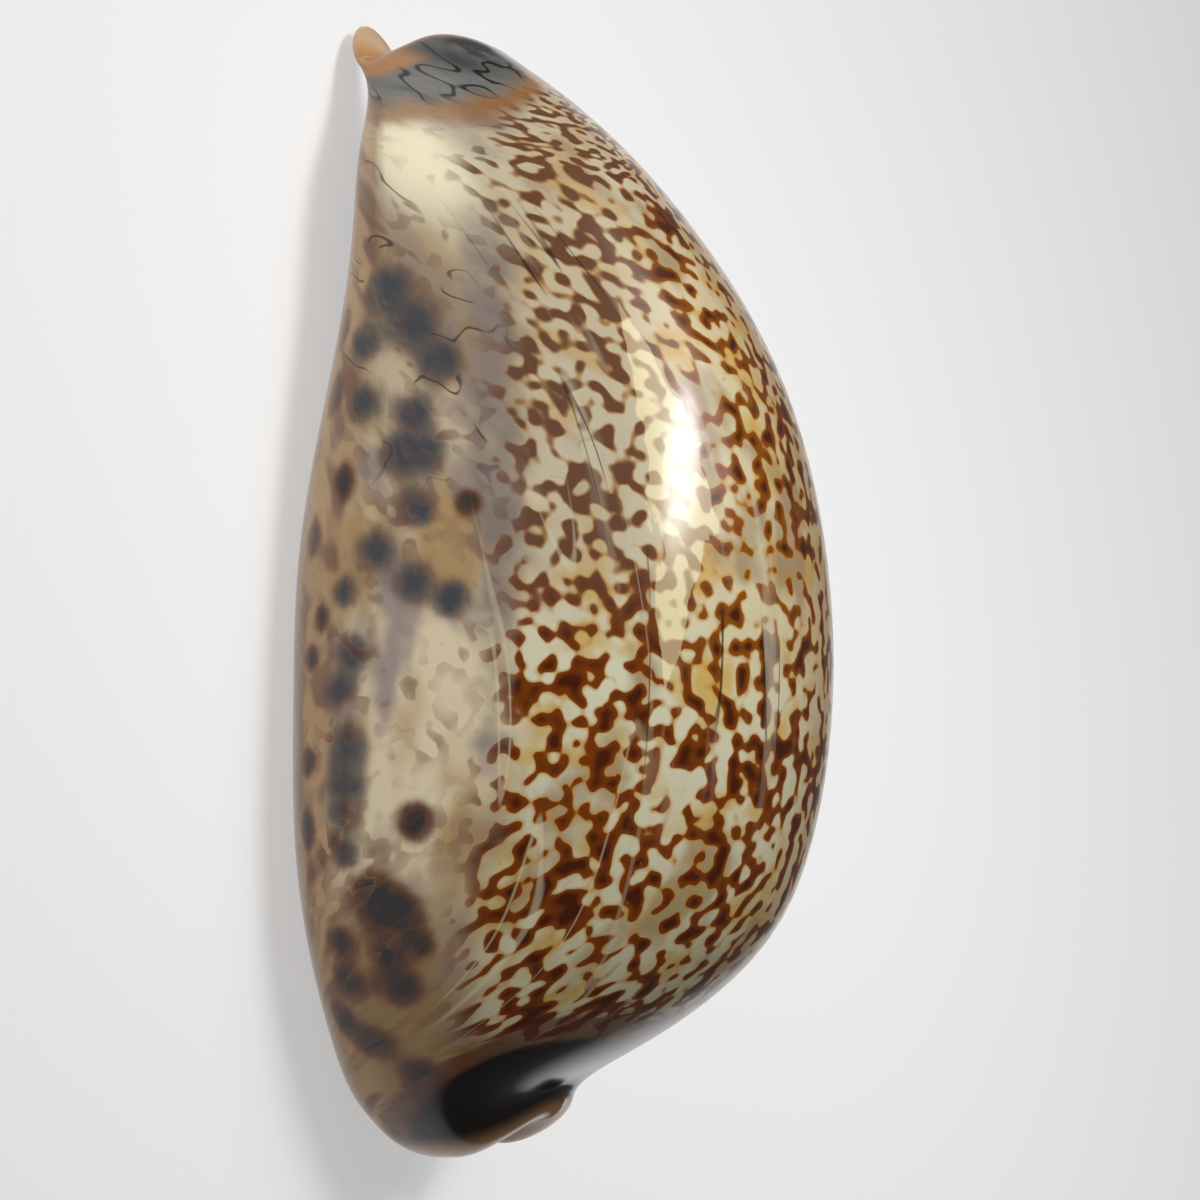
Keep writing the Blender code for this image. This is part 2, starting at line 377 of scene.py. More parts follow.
    def edge_shift(self, u: np.ndarray) -> np.ndarray:
        """Shift of both canals' edges along X at the columns u, a column for each canal."""
        edges = np.array([self.posterior_edge, self.anterior_edge]).T
        return spline(np.array(self.edge_columns), edges, u)

    def flanks(
        self, sizes: dict[str, np.ndarray], u: np.ndarray
    ) -> tuple[np.ndarray, np.ndarray, np.ndarray]:
        """Finds where each column's margin and throat stand.

        Args:
            sizes: The station sizes of each ring.
            u: Columns.

        Returns:
            The side of each column, and the sideways places of its margin and of its throat.
        """
        side = np.where(u < 0, Lip.LABRAL.value, Lip.COLUMELLAR.value)[None, :]
        edge = np.where(side < 0, -sizes["labral"], sizes["columellar"])
        return side, edge, sizes["slit_y"] + side * sizes["slit"]

    def near_canal(self, v: np.ndarray, share: float) -> np.ndarray:
        """1 at both ends of the shell, falling to 0 at this share of its length."""
        return 1 - smooth(0.0, share, v[:, None]) * smooth(0.0, share, 1 - v[:, None])

    def placed(
        self, v: np.ndarray, u: np.ndarray, x: np.ndarray, y: np.ndarray, z: np.ndarray,
        shift: np.ndarray,
    ) -> np.ndarray:
        """Puts a section in space, its ends shifted and its beak turned down.

        Args:
            v: Places of the rings.
            u: Columns.
            x: Place of each ring along the shell.
            y: Sideways places of the points.
            z: Heights of the points.
            shift: Shift along X at each column, for the posterior and the anterior end.

        Returns:
            Points as rings of columns.
        """
        near, far = (np.clip(1 - w[:, None] / self.edge_share, 0, 1) ** 2 for w in (v, 1 - v))
        x = x + shift[:, 0] * near + shift[:, 1] * far
        beak = np.clip(1 - v[:, None] / self.beak_share, 0, 1) ** 2
        beak = smooth(*self.beak_columns, -u) * beak
        return np.stack([x, y - self.beak_flare * beak, z - self.beak_drop * beak], axis=-1)

    def half_section(
        self, share: np.ndarray, edge: np.ndarray, lip: np.ndarray, slit: np.ndarray,
        crest: float | np.ndarray, heights: tuple[np.ndarray | float, ...], powers: Span,
    ) -> tuple[np.ndarray, np.ndarray]:
        """Draws half a section, from the crest round the margin and the lip to the throat.

        Args:
            share: 0 at the crest to 1 at the throat.
            edge: Sideways place of the margin.
            lip: Where the base ends and the lip begins.
            slit: Where the lip's face stands.
            crest: Sideways place of the crest.
            heights: Top, margin, base, depth of the lip and its radius.
            powers: How square the dome and the base are.

        Returns:
            Sideways places and heights.
        """
        top, margin, base, depth, radius = heights
        dome_power, base_power = powers
        turn = np.clip(share / self.dome_end, 0, 1) * np.pi / 2
        dome_y = crest + (edge - crest) * np.sin(turn) ** (2 / dome_power)
        dome_z = margin + (top - margin) * np.cos(turn) ** (2 / dome_power)
        span = self.base_end - self.dome_end
        turn = np.clip((share - self.dome_end) / span, 0, 1) * np.pi / 2
        base_y = lip + (edge - lip) * np.cos(turn) ** (2 / base_power)
        base_z = margin + (base - margin) * np.sin(turn) ** (2 / base_power)
        span = self.lip_end - self.base_end
        turn = np.clip((share - self.base_end) / span, 0, 1) * np.pi / 2
        rise = np.clip((share - self.lip_end) / (1 - self.lip_end), 0, 1)
        lip_y = lip + (slit - lip) * np.sin(turn)
        lip_z = base + radius * (1 - np.cos(turn)) + rise * (depth - radius)
        on_dome, on_base = share <= self.dome_end, share <= self.base_end
        return (
            np.where(on_dome, dome_y, np.where(on_base, base_y, lip_y)),
            np.where(on_dome, dome_z, np.where(on_base, base_z, lip_z)),
        )

    def outer_section(self, v: np.ndarray, u: np.ndarray) -> np.ndarray:
        """Draws the outer sheet.

        Args:
            v: Places of the rings.
            u: Columns.

        Returns:
            Points as rings of columns.
        """
        sizes = self.sizes_at(v)
        side, edge, slit = self.flanks(sizes, u)
        end = self.near_canal(v, self.canal_share)
        lip = slit + side * (self.lip_width - self.lip_narrowing * end)
        depth = self.lip_depth(v) - self.throat_step
        heights = (sizes["top"], sizes["margin"], sizes["base"], depth, self.lip_radius)
        share = np.abs(u)[None, :]
        y, z = self.half_section(share, edge, lip, slit, 0.0, heights, self.outer_powers)
        return self.placed(v, u, sizes["x"], y, z, self.edge_shift(u))

    def inner_section(self, v: np.ndarray, u: np.ndarray) -> np.ndarray:
        """Draws the lining of the body whorl and of both canals.

        Args:
            v: Places of the rings.
            u: Columns.

        Returns:
            Points as rings of columns.
        """
        sizes = self.sizes_at(v)
        side, edge, slit = self.flanks(sizes, u)
        end = self.near_canal(v, self.lining_canal_share)
        edge = edge - side * self.margin_wall
        edge = edge + (slit + side * self.canal_lip - edge) * end
        floor = sizes["base"] + self.lip_depth(v) - self.canal_sink * end
        top = sizes["top"] - self.wall
        top = top + (floor + self.canal_height - top) * end
        margin = sizes["margin"] + self.lining_rise
        margin = margin + (floor + self.canal_rise - margin) * end
        y, z = self.half_section(
            np.abs(u)[None, :], edge, slit + side * self.lining_lip, slit, sizes["slit_y"] * end,
            (top, margin, floor, 0.0, 0.0), self.inner_powers,
        )
        shift = self.edge_shift(u) * self.lining_share
        shift[:, 0] = self.lining_shift
        return self.placed(v, u, sizes["x"], y, z, shift)

    def rim(self, canal: Canal, t: np.ndarray, u: np.ndarray) -> np.ndarray:
        """Rolls the outer sheet over a canal's rim.

        Args:
            canal: The canal.
            t: Places on the roll, from 0 on the outer sheet to 1 on the lining.
            u: Columns.

        Returns:
            Points as rings of columns.
        """
        from_outside, from_lining = self.reaches[canal.value]
        inward = 1.0 if canal is Canal.POSTERIOR else -1.0
        ends = np.array([float(canal.value)])
        outside = self.outer_section(ends, u)[0]
        lining = self.inner_section(ends, u)[0]
        along = outside - self.outer_section(ends + self.probe * inward, u)[0]
        along /= np.linalg.norm(along, axis=1, keepdims=True)
        out = np.array([-inward, 0.0, 0.0])
        thickness = np.linalg.norm(outside - lining, axis=1, keepdims=True)
        if canal is Canal.POSTERIOR:
            along += (out - along) * smooth(*self.rim_straight, np.abs(u))[:, None]
        start = outside + along * np.minimum(from_outside, self.rim_roundness * thickness)
        finish = lining + out * np.minimum(from_lining, self.rim_roundness * thickness)
        t = t[:, None, None]
        return (
            outside * (1 - t) ** 3
            + start * 3 * t * (1 - t) ** 2
            + finish * 3 * t**2 * (1 - t)
            + lining * t**3
        )

    def groove(self, v: np.ndarray, u: np.ndarray) -> np.ndarray:
        """Works out how deep the grooves between the teeth are.

        Args:
            v: Places of the rings.
            u: Columns.

        Returns:
            0 on a tooth to 1 between two teeth, for each point.
        """
        pitch = (self.last_tooth - self.first_tooth) / self.teeth
        wave = 0.5 + 0.5 * np.cos(2 * np.pi * (v[:, None] - self.first_tooth) / pitch)
        row = smooth(self.first_tooth, self.first_tooth + pitch, v)
        row = row * smooth(0, pitch, self.last_tooth - v)
        low, high = (self.base_end + past for past in self.teeth_fade)
        return wave * row[:, None] * smooth(low, high, np.abs(u)[None, :])

    def outer(self) -> Sheet:
        """Makes the whole outer sheet, with its teeth.

        Returns:
            The sheet. Below 0 and above 1 its rings run over the rim of a canal.
        """
        v, u = self.outer_rings(), self.outer_columns()
        on_body = v[(v >= 0) & (v <= 1)]
        body = self.outer_section(on_body, u)
        aside, ahead = self.probe, self.probe / 2
        across = self.outer_section(on_body, u + aside) - self.outer_section(on_body, u - aside)
        along = self.outer_section(on_body + ahead, u) - self.outer_section(on_body - ahead, u)
        normal = np.cross(along, across)
        normal /= np.maximum(np.linalg.norm(normal, axis=-1, keepdims=True), 1e-9)
        body[:, :, 2] = np.maximum(body[:, :, 2], 0.0)
        body = body - normal * self.tooth_height * self.groove(on_body, u)[:, :, None]
        posterior = self.rim(Canal.POSTERIOR, -v[v < 0], u)
        anterior = self.rim(Canal.ANTERIOR, v[v > 1] - 1, u)
        return Sheet(np.concatenate([posterior, body, anterior]), v, u)

    def lining(self) -> Sheet:
        """Makes the whole lining, its rings spaced as the outer sheet's are.

        Returns:
            The sheet.
        """
        outer = self.outer_rings()
        on_body = np.clip(outer, 0, 1)
        v = np.interp(
            np.linspace(0, len(outer) - 1, self.inner_rings + 1),
            np.arange(len(outer)),
            on_body + self.rim_pace * (outer - on_body),
        )
        v = (v - v[0]) / (v[-1] - v[0])
        u = mirrored(np.linspace(0, 1, self.inner_spans + 1))
        return Sheet(self.inner_section(v, u), v, u)

    def outer_columns(self) -> np.ndarray:
        """Spaces the columns from the labral throat over the crest to the other one.

        Returns:
            Columns, rising from -1 to 1.
        """
        stops = (0.0, self.dome_end, self.base_end, self.lip_end, 1.0)
        spans = (self.dome_spans, self.base_spans, self.lip_spans, self.throat_spans)
        parts = [
            np.linspace(low, high, count + 1)[1:]
            for low, high, count in zip(stops, stops[1:], spans)
        ]
        return mirrored(np.concatenate([[0.0], *parts]))

    def outer_rings(self) -> np.ndarray:
        """Spaces the rings from one canal's rim over the body to the other's.

        Returns:
            Rings, rising from below 0 to above 1.
        """
        over_rim = np.linspace(0, self.rim_part, self.rim_rings + 1)[1:]
        before = np.linspace(0, self.first_tooth, self.end_rings + 1)[:-1]
        toothed = np.linspace(
            self.first_tooth, self.last_tooth, self.teeth * self.tooth_rings + 1
        )
        after = np.linspace(self.last_tooth, 1, self.end_rings + 1)[1:]
        return np.concatenate([-over_rim[::-1], before, toothed, after, 1 + over_rim])


@dataclass(frozen=True)
class Spot:
    """A round blotch under the side glaze, in millimetres along and round the shell."""

    along: float
    across: float
    size: float
    length: float = 1.0  # how many times longer than wide


@dataclass(frozen=True)
class Zone:
    """A soft-edged area of the shell, by its bounds.

    A bound is the value at which the zone is empty and the one at which it is full. Every bound
    counts. Lengths are in millimetres.
    """

    along: Line = ()  # along the shell, from its middle
    across: Line = ()  # round the shell from the crest, below 0 on the labral side
    depth: Line = ()  # past the edge of the side callus
    past_dark: Line = ()  # past the edge of the anterior blotch
    past_rim: Line = ()  # past the start of the posterior rim
    over_rim: Line = ()  # share of the way over a canal's rim
    section: Line = ()  # column, from 0 at the crest to 1 at the throat
    labral_only: bool = False

    def mask(self, measures: dict[str, np.ndarray]) -> np.ndarray:
        """Works out the zone's mask.

        Args:
            measures: What the bounds are on, at each point, by the name of the field.

        Returns:
            How full the zone is at each point.
        """
        full = np.ones_like(measures["along"])
        for name, value in measures.items():
            for empty_at, full_at in getattr(self, name):
                full = full * smooth(empty_at, full_at, value)
        return full * (measures["across"] < 0) if self.labral_only else full


@dataclass(frozen=True)
class Blob:
    """A soft round area, in millimetres along and round the shell."""

    along: float
    across: float
    length: float
    width: float
    power: float = 2.0  # how flat its middle is

    def mask(self, s: np.ndarray, t: np.ndarray) -> np.ndarray:
        """How full the blob is at the places s along and t round the shell."""
        aways = ((s - self.along) / self.length, (t - self.across) / self.width)
        return np.exp(-sum(np.abs(away) ** self.power for away in aways))


@dataclass
class Markings:
    """Where each colour lies on the outer sheet, as soft masks from 0 to 1.

    Lines are pairs of a place along the shell, or round it for the two ends, and a value there. All
    are in millimetres.
    """

    seed: int = 7
    labral_edge: Line = (
        (-36, 1), (-33, 3), (-30, 7), (-25, 11.5), (-20, 14), (-15, 16.5), (-10, 18.7), (-5, 20.3),
        (0, 21.5), (5, 22.5), (10, 23), (15, 23.4), (20, 23), (25, 22), (28, 19), (30, 16.8),
        (33, 12), (36, 5),
    )
    columellar_edge: Line = (
        (-36, 1), (-33, 4), (-28, 10), (-20, 17), (-10, 22), (0, 24), (10, 24), (20, 22),
        (27, 17), (33, 9), (36, 4),
    )
    """How far from the crest the side callus begins, on both sides."""
    slate_edge: Line = (
        (-16, -28.8), (-12, -29.2), (-9, -29.7), (-6, -31.0), (-3, -33.4), (0, -35.3),
        (3, -35.6), (6, -34.6), (10, -32.5), (14, -31.5),
    )
    slate_softness: float = 2.8
    dark_edge: Line = (
        (-16, 35.2), (-12, 33.2), (-8, 33.3), (-4, 34.7), (0, 35.3), (4, 35.7), (8, 36.5),
    )
    streak_line: Line = (
        (-20, -8.6), (-12, -9.6), (-5, -10.1), (0, -10.5), (4, -12.0), (9, -12.9), (14, -13.2),
    )
    streak_width: Line = (
        (-16, 0.0), (-10, 1.3), (-6, 2.2), (-2, 2.2), (1, 1.8), (5, 1.2), (9.5, 0.0),
    )
    least_width: float = 0.02
    squeeze_from: float = -25.0
    squeeze: float = -1.1  # how much closer the net draws for each millimetre past that place
    # Pale patch on the callus near the posterior end, painted almost white: a painted highlight for
    # the floor's reflection there, over the callus's own pale tone.
    cream: Blob = Blob(-25.0, -15.5, 4.0, 4.6, 2.6)
    oval: Blob = Blob(-34.7, -5.2, 1.3, 2.4)
    thin_depth: float = 0.4
    thin_width: float = 2.3
    thin_far_side: float = 0.6
    thin_fall: float = 0.5  # how much of the thin edge is lost along the near side
    thin_along: Span = (0, 12)
    horn_share: float = 0.9
    horn: Zone = Zone(past_rim=((1.6, 0.6),), across=((-5.5, -7.5),))
    rolled: Zone = Zone(over_rim=((0.0, 0.3),))
    throat_wall: Zone = Zone(section=((0.92, 0.99),))
    throat_rim: Zone = Zone(over_rim=((0.55, 0.85),))
    zones: tuple[tuple[str, Zone], ...] = (
        ("veil", Zone(depth=((-4.0, 2.2),))),
        ("haze", Zone(depth=((-13, -6),), along=((8, -1),), labral_only=True)),
        ("dark_end", Zone(past_dark=((-1.2, 1.2),), across=((-14.5, -11.0), (12, 8)))),
        # Darker callus towards the anterior end: partly its own tone, partly painted shade where
        # the light falls off.
        ("olive", Zone(along=((17, 27),), depth=((-4, 2),))),
        # Yellower ground and brighter gold strokes on the upper dome: partly their own tone, partly
        # painted light where the key lamp falls.
        ("golden", Zone(across=((-15, -7),), along=((13, 5), (-24, -18)))),
        # Redder, darker ground and strokes past the crest: partly their own tone, partly painted
        # shade on the side turned away.
        ("rosy", Zone(across=((-5, 4),))),
        ("smoky", Zone(along=((-25, -19), (-2, -9)), labral_only=True)),
        # Browner ground and denser strokes towards the anterior end: partly the shell's own tone,
        # partly painted shade.
        ("tawny", Zone(along=((0, 26),))),
        ("creased", Zone(depth=((-12, -6), (3, 0)), along=((-6, 2),), labral_only=True)),
        ("reddened", Zone(past_dark=((-5.5, -1.0),), across=((-17, -13),))),
        # Where dark hairlines run, and where pale lines are painted as highlight streaks on the
        # dome.
        ("lined", Zone(along=((-24, -17), (20, 8)), across=((-17, -14), (-1, -6)))),
        ("curled", Zone(along=((-27, -23), (-2, -7)), across=((-16, -19), (-31, -28)))),
        ("flank", Zone(section=((0.535, 0.57),))),
        ("base", Zone(section=((0.60, 0.70),))),
        ("lip", Zone(section=((0.76, 0.82),))),
    )
    slate_spots: tuple[Spot, ...] = (
        Spot(-16.3, -22.9, 1.5), Spot(-13.9, -22.3, 1.7), Spot(-12.6, -26.8, 1.2),
        Spot(-11.4, -22.0, 1.3), Spot(-9.0, -28.3, 1.2), Spot(-8.0, -25.0, 1.2),
        Spot(-5.7, -27.0, 1.2), Spot(-5.5, -25.2, 1.3), Spot(-2.1, -26.7, 1.2),
        Spot(0.2, -30.2, 1.2), Spot(2.2, -27.6, 1.2), Spot(3.4, -25.4, 1.1),
        Spot(2.8, -32.4, 0.9), Spot(6.7, -32.2, 1.2), Spot(8.8, -33.4, 1.1),
        Spot(12.1, -32.7, 1.2), Spot(14.3, -32.6, 1.2), Spot(16.2, -32.6, 1.1),
        Spot(18.7, -32.3, 1.0),
    )
    brown_spots: tuple[Spot, ...] = (
        Spot(-2.5, -23.4, 0.8), Spot(-3.9, -31.5, 0.8, 1.6), Spot(-9.4, -31.0, 0.9, 1.6),
        Spot(-13.6, -28.6, 0.8, 1.6), Spot(-0.5, -35.4, 0.8, 1.5), Spot(4.3, -34.8, 0.7, 1.3),
        Spot(7.0, -35.8, 0.8), Spot(13.1, -36.0, 0.9), Spot(17.3, -35.4, 0.9, 1.3),
        Spot(16.8, -27.7, 1.1), Spot(21.4, -29.6, 1.4), Spot(22.8, -27.0, 1.8),
        Spot(24.2, -24.6, 0.8), Spot(25.1, -25.8, 0.8), Spot(26.6, -27.6, 1.2),
        Spot(27.2, -23.7, 1.3), Spot(24.3, -30.2, 1.0), Spot(29.2, -26.0, 1.1),
        Spot(31.0, -21.5, 1.5, 0.7), Spot(34.0, -14.8, 1.4), Spot(37.0, -11.0, 1.2),
    )
    scattered: int = 34
    scattered_slate: float = 0.6  # share of them that is slate
    far_along: Span = (-20, 30)
    far_across: Span = (25, 37)
    far_middle: float = 3
    far_reach: float = 12
    far_draw: float = 0.55  # how fast they close up on the crest past that reach of the middle
    far_gap: float = 2.6
    far_size: Span = (0.8, 1.5)
    far_length: Span = (0.8, 1.3)
    spot_columns: float = 0.77  # a spot's centre lies no further round than this column

    def far_spots(self) -> list[Spot]:
        """Scatters spots over the columellar margin by the seed, kept apart.

        Returns:
            The spots.
        """
        rng = np.random.default_rng(self.seed)
        spots: list[Spot] = []
        while len(spots) < self.scattered:
            along = rng.uniform(*self.far_along)
            past = max(0.0, abs(along - self.far_middle) - self.far_reach)
            across = rng.uniform(*self.far_across) - past * self.far_draw
            apart = [math.hypot(along - spot.along, across - spot.across) for spot in spots]
            if min(apart, default=math.inf) > self.far_gap:
                size, length = rng.uniform(*self.far_size), rng.uniform(*self.far_length)
                spots.append(Spot(along, across, size, length))
        return spots

    def spots(self) -> tuple[list[Spot], list[Spot]]:
        """Shares the scattered spots out between the slate spots and the brown ones.

        Returns:
            The slate spots and the brown ones.
        """
        rng = np.random.default_rng(self.seed)
        far = self.far_spots()
        cut = int(len(far) * self.scattered_slate)
        order = rng.permutation(len(far))
        return (
            [*self.slate_spots, *(far[i] for i in order[:cut])],
            [*self.brown_spots, *(far[i] for i in order[cut:])],
        )

    def dabs(
        self, spots: list[Spot], sheet: Sheet, along: np.ndarray, across: np.ndarray
    ) -> np.ndarray:
        """Soft round dabs: 1 in the middle of a spot and 0.5 at its size.

        Args:
            spots: The spots.
            sheet: The sheet that they lie on.
            along: Millimetres along the shell at each point of the sheet.
            across: Millimetres round the shell at each point of the sheet.

        Returns:
            The dabs' strength at each point.
        """
        clear = np.ones_like(along)
        hidden = np.where(np.abs(sheet.columns) > self.spot_columns, math.inf, 0.0)[None, :]
        for spot in spots:
            miss = np.hypot(along - spot.along, across - spot.across) + hidden
            centre = sheet.points[np.unravel_index(miss.argmin(), miss.shape)]
            away = (sheet.points - centre) / (spot.length, 1.0, 1.0)
            clear *= 1 - 0.5 ** ((away**2).sum(axis=2) / spot.size**2)
        return 1 - clear

    def masks(self, sheet: Sheet, form: ShellForm) -> dict[str, np.ndarray]:
        """Works out every mask.

        Args:
            sheet: The outer sheet.
            form: Its sizes.

        Returns:
            Values for each point of the sheet, by the name that the glaze reads.
        """
        s, t = sheet.arc_along(), sheet.arc_round()
        v = sheet.rings[:, None]
        labral, columellar = line_at(self.labral_edge, s), line_at(self.columellar_edge, s)
        depth = np.where(t < 0, -t - labral, t - columellar)
        measures = {
            "along": s,
            "across": t,
            "depth": depth,
            "past_dark": s - line_at(self.dark_edge, t),
            "past_rim": s - s[np.abs(sheet.rings).argmin()],
            "over_rim": np.maximum(np.maximum(-v, v - 1), 0.0),
            "section": np.abs(sheet.columns)[None, :],
        }
        thin_near = 1.0 - self.thin_fall * smooth(*self.thin_along, s)
        thin_share = np.where(t < 0, thin_near, self.thin_far_side)
        thin = np.exp(-(((depth - self.thin_depth) / self.thin_width) ** 2))
        off_streak = np.abs(t - line_at(self.streak_line, s))
        streak_width = np.maximum(line_at(self.streak_width, s), self.least_width)
        to_slate = (line_at(self.slate_edge, t) - s) / self.slate_softness
        horn, rolled = self.horn.mask(measures), self.rolled.mask(measures)
        slate, brown = self.spots()
        return {name: zone.mask(measures) for name, zone in self.zones} | {
            "slate_spots": self.dabs(slate, sheet, s, t),
            "brown_spots": self.dabs(brown, sheet, s, t),
            "slate_end": np.clip(0.5 + to_slate, -2.0, 2.0),
            "cream": self.cream.mask(s, t),
            "oval": self.oval.mask(s, t),
            "thin": thin * thin_share,
            "streak": 1 - off_streak / streak_width,
            "rim": np.maximum(rolled, self.horn_share * horn),
            "squeeze": self.squeeze * np.maximum(0.0, self.squeeze_from - s),
            "between_teeth": form.groove(np.clip(sheet.rings, 0, 1), sheet.columns),
            "throat": np.maximum(self.throat_wall.mask(measures), self.throat_rim.mask(measures)),
        }


@dataclass(frozen=True)
class Cloud:
    """Soft noise laid over the shell."""

    size: float  # millimetres
    detail: float = 2.0
    offset: float = 0.0  # gives each cloud a place of its own in the noise
    stretch: float = 1.0  # how many times longer along the shell than round it
    fade: Span = (0.0, 1.0)  # where in the noise its patches are empty and full


@dataclass(frozen=True)
class Contour:
    """A thin line wherever a cloud passes a level."""

    cloud: Cloud
    level: float
    width: float
    core: float = 0.3  # share of the width over which the line is full


@dataclass(frozen=True)
class Torn:
    """A mask whose edge wavers by a cloud, empty and full where its fade says."""

    mask: str
    cloud: Cloud
    reach: float
    fade: Span


class Fade(NamedTuple):
    """A value, with where it counts as empty and as full."""

    value: Socket | str
    empty_at: float
    full_at: float


Share = Socket | float | str | Cloud | Contour | Torn | Fade
"""How much of a layer shows. Text is the name of a mask."""
Layer = tuple[Value | Share, ...]
"""A colour, and the shares that are multiplied to say how much of it shows."""


@dataclass
class Painter:
    """Adds the nodes of a glaze over the masks and millimetres stored on the shell's points."""

    tree: bpy.types.NodeTree
    growth: Socket  # millimetres along and round the shell
    mask: dict[str, Socket]
    offset_skew: float = 1.7

    def noise(self, cloud: Cloud, place: Socket | None = None) -> Socket:
        """Lays a cloud over the shell.

        Args:
            cloud: The cloud.
            place: What it is laid over, if that isn't the growth.

        Returns:
            Its raw noise.
        """
        shift = (cloud.offset, cloud.offset * self.offset_skew, cloud.offset)
        moved = add_node(
            self.tree, "Mapping", {},
            {"Vector": place or self.growth, "Location": shift, "Scale": (1 / cloud.stretch, 1, 1)},
        )
        return add_node(
            self.tree, "TexNoise", {"noise_dimensions": "3D"},
            {"Vector": moved, "Scale": 1 / cloud.size, "Detail": cloud.detail},
        )

    def wavering(self, value: Socket, noise: Socket, reach: float) -> Socket:
        """Pushes the value up and down by the noise."""
        shifted = add_node(
            self.tree, "Math", {"operation": "MULTIPLY_ADD"}, {0: noise, 1: 2 * reach, 2: -reach}
        )
        return add_node(self.tree, "Math", {"operation": "ADD"}, {0: value, 1: shifted})

    def strength(self, *shares: Share) -> Value:
        """Multiplies the shares of a layer.

        Args:
            *shares: The shares, at least one.

        Returns:
            How much of the layer shows.
        """
        strength: Value | None = None
        for share in shares:
            if isinstance(share, Cloud):
                share = Fade(self.noise(share), *share.fade)
            elif isinstance(share, Torn):
                torn = self.wavering(self.mask[share.mask], self.noise(share.cloud), share.reach)
                share = Fade(torn, *share.fade)
            elif isinstance(share, Contour):
                off = {0: self.noise(share.cloud), 1: share.level}
                off = add_node(self.tree, "Math", {"operation": "SUBTRACT"}, off)
                off = add_node(self.tree, "Math", {"operation": "ABSOLUTE"}, {0: off})
                share = Fade(off, share.width, share.width * share.core)
            if isinstance(share, Fade):
                sockets = dict(enumerate(share))
                sockets[0] = self.mask.get(share.value, share.value)
                share = add_node(
                    self.tree, "MapRange", {"interpolation_type": "SMOOTHSTEP"}, sockets
                )
            elif isinstance(share, str):
                share = self.mask[share]
            strength = share if strength is None else add_node(
                self.tree, "Math", {"operation": "MULTIPLY"}, {0: strength, 1: share}
            )
        return strength

    def lay(self, below: Value, *layers: Layer) -> Socket:
        """Lays layers of colour over a colour.

        Args:
            below: The colour that is there.
            *layers: The layers, the lowest first.

        Returns:
            The colour that is seen.
        """
        for over, *shares in layers:
            below = add_node(
                self.tree, "Mix", {"data_type": "RGBA"},
                {0: self.strength(*shares), 6: below, 7: over}, 2,
            )
        return below


